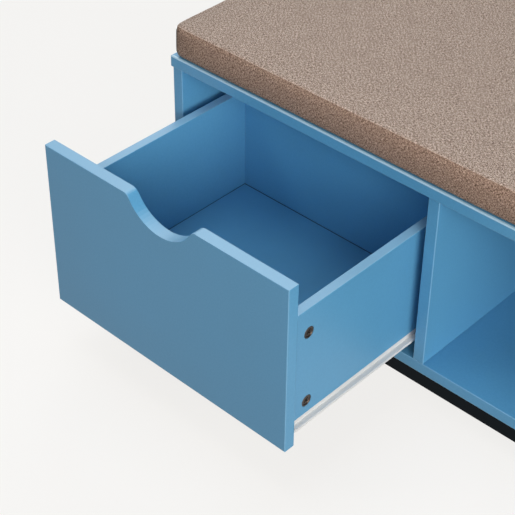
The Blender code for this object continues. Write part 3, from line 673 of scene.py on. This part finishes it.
def slab(half, middle, corner, rim_above, rim_below, steps):
    """A bmesh box with rounded uprights and eased rims, softer or sharper above than below."""
    bm = bmesh.new()
    bmesh.ops.create_cube(bm, size=1.0)
    bmesh.ops.scale(bm, vec=2 * half, verts=bm.verts)
    uprights = [e for e in bm.edges if abs(e.verts[0].co.z - e.verts[1].co.z) > half.z]
    bmesh.ops.bevel(bm, geom=uprights, offset=corner, segments=steps + 2, affect="EDGES",
                    profile=0.5, material=-1)
    for side, rim in ((1, rim_above), (-1, rim_below)):
        rims = [e for e in bm.edges if all(abs(v.co.z - side * half.z) < 1e-6 for v in e.verts)
                and len(e.link_faces) == 2
                and abs(e.link_faces[0].normal.z - e.link_faces[1].normal.z) > 0.5]
        bmesh.ops.bevel(bm, geom=rims, offset=rim, segments=steps, affect="EDGES", profile=0.5,
                        material=-1)
    bmesh.ops.translate(bm, vec=middle, verts=bm.verts)
    return bm


foam_mat, shader, tree, add = blank_material("seat_foam")
spot = add("TexCoord").outputs["Object"]
cells = add("TexVoronoi", {"Vector": spot, "Scale": 700.0})
pores = add("TexNoise", {"Vector": spot, "Scale": 1400.0, "Detail": 2.0})
cream = ramp(add, cells.outputs["Distance"],
             [(0.0, (0.48, 0.42, 0.28)), (0.35, (0.72, 0.66, 0.50)), (0.8, (0.80, 0.75, 0.60))])
tree.links.new(cream, shader.inputs["Base Color"])
relief = add("Bump", {"Height": pores.outputs["Fac"], "Strength": 0.5, "Distance": 0.0006})
tree.links.new(relief.outputs["Normal"], shader.inputs["Normal"])
shader.inputs["Roughness"].default_value = 0.95
shader.inputs["Specular IOR Level"].default_value = 0.1

foam_half = cover_half - Vector((0.0065, 0.0065, 0.0040))   # the slack all round it
foam_mid = cover_mid - Vector((0.0, 0.0, 0.0012))
foam_bm = slab(foam_half, foam_mid, 0.010, 0.004, 0.003, 3)
foam = place_mesh("seat_foam_slab", foam_bm, "cushion", 40)
foam.data.materials.append(foam_mat)
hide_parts("foam_core")

# --- Cushion cover ----------------------------------------------------------------------------
# A sewn box cover of heathered taupe cloth: top and bottom panels and a border, filled out by
# the foam so that the panels crown between their seams.  Nothing holds it to the top board.


def heather(name, highlight_gain=1.0):
    """A plain weave of slubbed light and dark yarns, laid along the cloth's own UV in metres."""
    mat, shader, tree, add = blank_material(name)
    uv = add("UVMap", uv_map="cloth").outputs["UV"]
    cells = add("TexChecker", {"Vector": uv, "Scale": 620.0, "Color1": (0, 0, 0, 1),
                               "Color2": (1, 1, 1, 1)})
    yarns = []
    for stretch in ((1.0, 0.28, 1.0), (0.28, 1.0, 1.0)):
        along = add("Mapping", {"Vector": uv, "Scale": stretch})
        slub = add("TexNoise", {"Vector": along.outputs[0], "Scale": 1300.0, "Detail": 2.0,
                                "Roughness": 0.65}, noise_dimensions="2D")
        yarns.append(slub.outputs["Fac"])
    over = mix(add, cells.outputs["Fac"], (0.0, 0.0, 0.0), (1.0, 1.0, 1.0))
    tone = add("Mix", {"Factor": over, 2: yarns[0], 3: yarns[1]})
    both = add("Math", {0: yarns[0], 1: yarns[1]}, operation="ADD")
    blend = add("Math", {0: both.outputs[0], 1: 0.25}, operation="MULTIPLY")
    tone = add("Math", {0: tone.outputs[0], 1: 0.5, 2: blend.outputs[0]}, operation="MULTIPLY_ADD")
    dark, middle, pale = ((0.150, 0.106, 0.083), (0.395, 0.300, 0.248), (0.76, 0.65, 0.575))
    yarn = ramp(add, tone.outputs[0],
                [(0.40, tuple(c * highlight_gain for c in dark)),
                 (0.50, tuple(c * highlight_gain for c in middle)),
                 (0.60, tuple(min(c * highlight_gain, 0.9) for c in pale))])
    cloud = add("TexNoise", {"Vector": uv, "Scale": 45.0, "Detail": 4.0, "Roughness": 0.6},
                noise_dimensions="2D")
    patches = ramp(add, cloud.outputs["Fac"],
                   [(0.3, (0.44, 0.44, 0.44)), (0.7, (0.56, 0.56, 0.56))])
    yarn = mix(add, 0.5, yarn, patches, "OVERLAY")
    # painted shade: the front and back of the border are painted darker and warmer than the panels
    looks = add("SeparateXYZ", {"Vector": add("NewGeometry").outputs["Normal"]})
    facing = add("Math", {0: looks.outputs["Y"]}, operation="ABSOLUTE")
    border = add("MapRange", {"Value": facing.outputs[0], "From Min": 0.35, "From Max": 0.85})
    painted_border_shade = mix(add, 1.0, yarn, (0.86, 0.735, 0.655), "MULTIPLY")
    yarn = mix(add, border.outputs[0], yarn, painted_border_shade)
    tree.links.new(yarn, shader.inputs["Base Color"])
    threads_a = add("TexWave", {"Vector": uv, "Scale": 195.0, "Distortion": 0.6, "Detail": 1.0},
                    bands_direction="X")
    threads_b = add("TexWave", {"Vector": uv, "Scale": 195.0, "Distortion": 0.6, "Detail": 1.0},
                    bands_direction="Y")
    weave = add("Math", {0: threads_a.outputs["Fac"], 1: threads_b.outputs["Fac"]},
                operation="MULTIPLY")
    height = add("Math", {0: weave.outputs[0], 1: tone.outputs[0]}, operation="ADD")
    relief = add("Bump", {"Height": height.outputs[0], "Strength": 0.7, "Distance": 0.0007})
    tree.links.new(relief.outputs["Normal"], shader.inputs["Normal"])
    shader.inputs["Roughness"].default_value = 0.92
    shader.inputs["Specular IOR Level"].default_value = 0.06
    shader.inputs["Sheen Weight"].default_value = 0.04
    shader.inputs["Sheen Roughness"].default_value = 0.5
    shader.inputs["Sheen Tint"].default_value = (0.85, 0.78, 0.72, 1.0)
    return mat


def lay_cloth_uv(mesh):
    """A UV in metres from the direction each face looks in, so the weave follows every side."""
    layer = mesh.uv_layers.new(name="cloth")
    for poly in mesh.polygons:
        axis = max(range(3), key=lambda k: abs(poly.normal[k]))
        for corner in poly.loop_indices:
            at = mesh.vertices[mesh.loops[corner].vertex_index].co
            layer.data[corner].uv = ((at.y, at.z), (at.x, at.z), (at.x, at.y))[axis]


CORNER = 0.013          # plan radius of the cover's four corners
RIM = 0.0050            # how softly the panels turn into the border
LOWER_RIM = 0.0034      # and how softly the border turns under
TOP_CROWN = 0.0042      # the most that the top may rise above its seams
BORDER_CROWN = 0.0020   # and that the border may swell
LIFT = 0.0003           # the cloth's gap to the board under it
VOXEL = 0.0055          # the size of the cloth's mesh before it is blown up
cut_low = Vector((cover_low.x - 0.0020, cover_low.y - 0.0022, cover_low.z + 0.0002))
cut_high = Vector((cover_high.x + 0.0020, cover_high.y - 0.0012, cover_high.z + 0.0040))
cover_start = (cut_high - cut_low) / 2
cover_middle = (cut_high + cut_low) / 2
cover_bm = slab(cover_start, cover_middle, CORNER, RIM, LOWER_RIM, 3)
cover = place_mesh("cushion_box_cover", cover_bm)
remesh = cover.modifiers.new("remesh", "REMESH")
remesh.mode = "VOXEL"
remesh.voxel_size = VOXEL
settle(cover)


def depth_in(at):
    """How far a point lies inside the cover's plan outline."""
    dx = cover_start.x - abs(at.x - cover_middle.x)
    dy = cover_start.y - abs(at.y - cover_middle.y)
    if dx < CORNER and dy < CORNER:
        return CORNER - math.hypot(CORNER - dx, CORNER - dy)
    return min(dx, dy)


seams = cover.vertex_groups.new(name="seams")
for vertex in cover.data.vertices:
    height = abs(vertex.co.z - cover_middle.z)
    at_rim = height > cover_start.z - RIM and depth_in(vertex.co) < RIM
    at_zip = vertex.co.y > cover_middle.y + cover_start.y - 0.002 and height < 0.008
    if at_rim or at_zip:
        seams.add([vertex.index], 1.0, "REPLACE")

still = [v.co.copy() for v in cover.data.vertices]
cloth = cover.modifiers.new("cloth", "CLOTH")
cloth.settings.quality = 5
cloth.settings.mass = 0.3
cloth.settings.tension_stiffness = 15.0
cloth.settings.compression_stiffness = 15.0
cloth.settings.bending_stiffness = 0.5
cloth.settings.use_pressure = True
cloth.settings.uniform_pressure_force = 4.0
cloth.settings.vertex_group_mass = "seams"
cloth.settings.effector_weights.gravity = 0.0
for step in range(1, 21):
    bpy.context.scene.frame_set(step)
settle(cover)
bpy.context.scene.frame_set(1)
for vertex, rest in zip(cover.data.vertices, still):
    move = vertex.co - rest
    if move.length > 1e-7:
        cap = TOP_CROWN if abs(move.z) > 0.7 * move.length else BORDER_CROWN
        vertex.co = rest + move * (cap * math.tanh(move.length / cap) / move.length)

for vertex in cover.data.vertices:
    # small puckers where the panels are gathered into the seams
    inside = max(depth_in(vertex.co), 0.0)
    if vertex.co.z > cover_middle.z + cover_start.z - RIM:
        ripple = noise.noise(Vector((vertex.co.x * 62, vertex.co.y * 62, 4.0)))
        vertex.co.z += 0.0011 * ripple * math.exp(-inside / 0.022) * min(inside / 0.006, 1.0)
    elif inside < 0.004:
        ripple = noise.noise(Vector((vertex.co.x * 45, vertex.co.y * 45, vertex.co.z * 60 + 9.0)))
        away = vertex.co - cover_middle
        way = Vector((math.copysign(1, away.x), 0, 0))
        if cover_start.y - abs(away.y) < CORNER / 2:
            way = Vector((0, math.copysign(1, away.y), 0))
        if not (away.y > 0 and abs(away.z) < 0.009):
            vertex.co += way * 0.0007 * ripple
    # the lower seam lies hard down on the board
    above = vertex.co.z - cover_low.z - LIFT
    if above < RIM and inside < 0.006:
        above *= 0.35 + 0.65 * max(above, 0.0) / RIM
    vertex.co.z = cover_low.z + LIFT + max(above, 0.0)
fine = cover.modifiers.new("fine", "SUBSURF")
fine.levels = fine.render_levels = 1
settle(cover)
lay_cloth_uv(cover.data)
cover.data.shade_smooth()
cover.data.materials.clear()
cover.data.materials.append(heather("heathered_taupe_cloth"))
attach(cover, "cushion")
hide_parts("cushion_cover")

# --- Seams of the cover -----------------------------------------------------------------------
# Where a panel meets the border, the folded seam allowances push up a soft ridge; at each corner
# the border is joined by an upright seam with a row of stitches on both sides.


def outline(level, step=0.006):
    """Points round the cover's plan outline at one level."""
    reach_x, reach_y = cover_start.x - CORNER, cover_start.y - CORNER
    points = []
    for turn in range(4):
        mid_x = cover_middle.x + reach_x * (1, -1, -1, 1)[turn]
        mid_y = cover_middle.y + reach_y * (1, 1, -1, -1)[turn]
        for k in range(7):
            angle = math.radians(90 * turn + 15 * k)
            points.append(Vector((mid_x + CORNER * math.cos(angle),
                                  mid_y + CORNER * math.sin(angle), level)))
        run = 2 * (reach_x if turn % 2 == 0 else reach_y)
        way = Vector(((-1, 0, 0), (0, -1, 0), (1, 0, 0), (0, 1, 0))[turn])
        last = points[-1]
        count = int(run / step)
        points.extend(last + way * run * (k / count) for k in range(1, count))
    return points


def rope(name, points, radius, sides, closed=True):
    """A bmesh of a round cord swept along points."""
    curve = bpy.data.curves.new(name, "CURVE")
    curve.dimensions = "3D"
    curve.bevel_depth = radius
    curve.bevel_resolution = sides
    curve.use_fill_caps = not closed
    line = curve.splines.new("POLY")
    line.points.add(len(points) - 1)
    for target, point in zip(line.points, points):
        target.co = (*point, 1.0)
    line.use_cyclic_u = closed
    made = bpy.data.objects.new(name, curve)
    bpy.context.scene.collection.objects.link(made)
    bpy.context.view_layer.update()
    graph = bpy.context.evaluated_depsgraph_get()
    mesh = bpy.data.meshes.new_from_object(made.evaluated_get(graph))
    bpy.data.objects.remove(made)
    bpy.data.curves.remove(curve)
    bm = bmesh.new()
    bm.from_mesh(mesh)
    bpy.data.meshes.remove(mesh)
    bmesh.ops.remove_doubles(bm, verts=bm.verts, dist=1e-6)
    return bm


skin = bmesh.new()
skin.from_mesh(cover.data)
cloth_skin = BVHTree.FromBMesh(skin)
skin.free()


def on_cloth(point, sink):
    """The place on the cover's cloth nearest to a point, sunk a little into it."""
    place, normal = cloth_skin.find_nearest(point)[:2]
    return place - normal * sink


SEAM, SEAM_SINK = 0.0016, 0.0009    # the piped seam's radius, and how deep it lies in the cloth
loop = [on_cloth(point, SEAM_SINK) for point in outline(cut_high.z + 0.001)]
loop = [(a + b * 2 + c) / 4 for a, b, c in zip(loop[-1:] + loop[:-1], loop, loop[1:] + loop[:1])]
top_seam = rope("cover_top_seam", loop, SEAM, 2)
ridge = place_mesh("cover_top_seam", top_seam, "cushion", 60)
lay_cloth_uv(ridge.data)
# painted highlight: the seam's cloth is painted 1.12 times lighter, as if lit along its ridge
ridge.data.materials.append(heather("heathered_taupe_seam", 1.12))

# dark thread for the stitches; the upright seam cords use it too, as painted shade for the seam
# groove
thread_and_groove_shade_mat, shader, tree, add = blank_material("taupe_thread_and_groove_shade")
spot = add("TexCoord").outputs["Object"]
twist = add("TexWave", {"Vector": spot, "Scale": 900.0, "Distortion": 1.0},
            bands_direction="DIAGONAL")
tree.links.new(ramp(add, twist.outputs["Fac"],
                    [(0.2, (0.05, 0.038, 0.030)), (0.8, (0.11, 0.085, 0.068))]),
               shader.inputs["Base Color"])
shader.inputs["Roughness"].default_value = 0.8

THREAD, STITCH = 0.00038, 0.0026    # the thread's radius, and a stitch's length
corner_bm = bmesh.new()
for sx in (-1, 1):
    for sy in (-1, 1):
        middle = Vector((cover_middle.x + sx * (cover_start.x - CORNER),
                         cover_middle.y + sy * (cover_start.y - CORNER), cover_middle.z))
        away = Vector((sx, sy, 0.0)) * CORNER
        line = [on_cloth(middle + away + Vector((0, 0, -0.0165 + 0.0025 * k)), 0.0003)
                for k in range(14)]
        # painted shade: the upright seam is a dark cord, standing for the shade in the seam's
        # groove
        seam_bm = rope("corner", line, 0.0008, 1, closed=False)
        strip = bpy.data.meshes.new("corner")
        seam_bm.to_mesh(strip)
        corner_bm.from_mesh(strip)
        bpy.data.meshes.remove(strip)
        for lean in (30, 60):
            for k in range(8):
                turn = math.radians(lean)
                away = Vector((sx * math.cos(turn), sy * math.sin(turn), 0.0)) * (CORNER + 0.001)
                at = on_cloth(middle + away + Vector((0, 0, -0.0135 + 0.0040 * k)), 0.0001)
                made = bmesh.ops.create_cone(corner_bm, cap_ends=True, segments=8,
                                             radius1=THREAD, radius2=THREAD, depth=STITCH)
                bmesh.ops.translate(corner_bm, vec=at, verts=made["verts"])
corner_seams = place_mesh("cover_corner_seams", corner_bm, "cushion", 40)
corner_seams.data.materials.append(thread_and_groove_shade_mat)

# --- Zip --------------------------------------------------------------------------------------
# A coil zip across the back of the border: two woven tapes, the meshed coil between them, and a
# metal slider with a plain pull.
tape_mat, shader, tree, add = blank_material("zip_tape_cloth")
spot = add("TexCoord").outputs["Object"]
ribs = add("TexWave", {"Vector": spot, "Scale": 500.0, "Distortion": 0.5})
taupe = ramp(add, ribs.outputs["Fac"], [(0.2, (0.14, 0.11, 0.09)), (0.8, (0.24, 0.19, 0.16))])
tree.links.new(taupe, shader.inputs["Base Color"])
relief = add("Bump", {"Height": ribs.outputs["Fac"], "Strength": 0.4, "Distance": 0.0003})
tree.links.new(relief.outputs["Normal"], shader.inputs["Normal"])
shader.inputs["Roughness"].default_value = 0.85

zip_low, zip_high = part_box("cushion_zip")
zip_mid = (zip_low + zip_high) / 2
tapes = bmesh.new()
for way in (-1, 1):
    eased_block(tapes, (zip_high.x - zip_low.x, 0.0010, 0.0050),
                (zip_mid.x, zip_high.y - 0.0006, zip_mid.z + way * 0.0032), 0.0003)
zip_tapes = place_mesh("zip_tapes", tapes)
finish_piece(zip_tapes, tape_mat, "cushion", "cushion_zip", 40)

coil_mat = plated("bronze_coil", (0.26, 0.20, 0.13), 0.40)
TOOTH = 0.0020          # from one tooth to the next
COIL = 0.00062          # the coil wire's radius
WEAVE = 0.00065         # how far the teeth of one side sit above those of the other, halved
coil = bmesh.new()
for k in range(int((zip_high.x - zip_low.x - 0.008) / TOOTH)):
    lift = WEAVE if k % 2 else -WEAVE
    at = Vector((zip_low.x + 0.004 + k * TOOTH, zip_high.y + 0.0001, zip_mid.z + lift))
    made = bmesh.ops.create_cone(coil, cap_ends=True, segments=6, radius1=COIL, radius2=COIL,
                                 depth=0.0034)["verts"]
    bmesh.ops.translate(coil, vec=at, verts=made)
zip_coil = place_mesh("zip_coil", coil, "cushion", 40)
zip_coil.data.materials.append(coil_mat)

slider_low, slider_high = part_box("zip_slider")
slider_mid = (slider_low + slider_high) / 2
brass = plated("antique_brass", (0.34, 0.29, 0.20), 0.30)
head_level = slider_high.z - 0.0045
pull_y = slider_high.y - 0.0005
body_bm = bmesh.new()
eased_block(body_bm, (0.0090, 0.0012, 0.0078), (slider_mid.x, slider_low.y + 0.0008, head_level),
            0.0005, 3)
eased_block(body_bm, (0.0050, 0.0009, 0.0014), (slider_mid.x, slider_low.y + 0.0018, head_level),
            0.0003)
eased_block(body_bm, (0.0052, 0.0008, 0.0150), (slider_mid.x, pull_y, head_level - 0.0072), 0.00035)
slider = place_mesh("zip_slider_and_pull", body_bm)
carve(slider, slot_cutter(Vector((slider_mid.x, pull_y, slider_low.z + 0.0026)), BACK, 0.0013,
                          0.0, 0.002))
finish_piece(slider, brass, "zip", "zip_slider", 35)
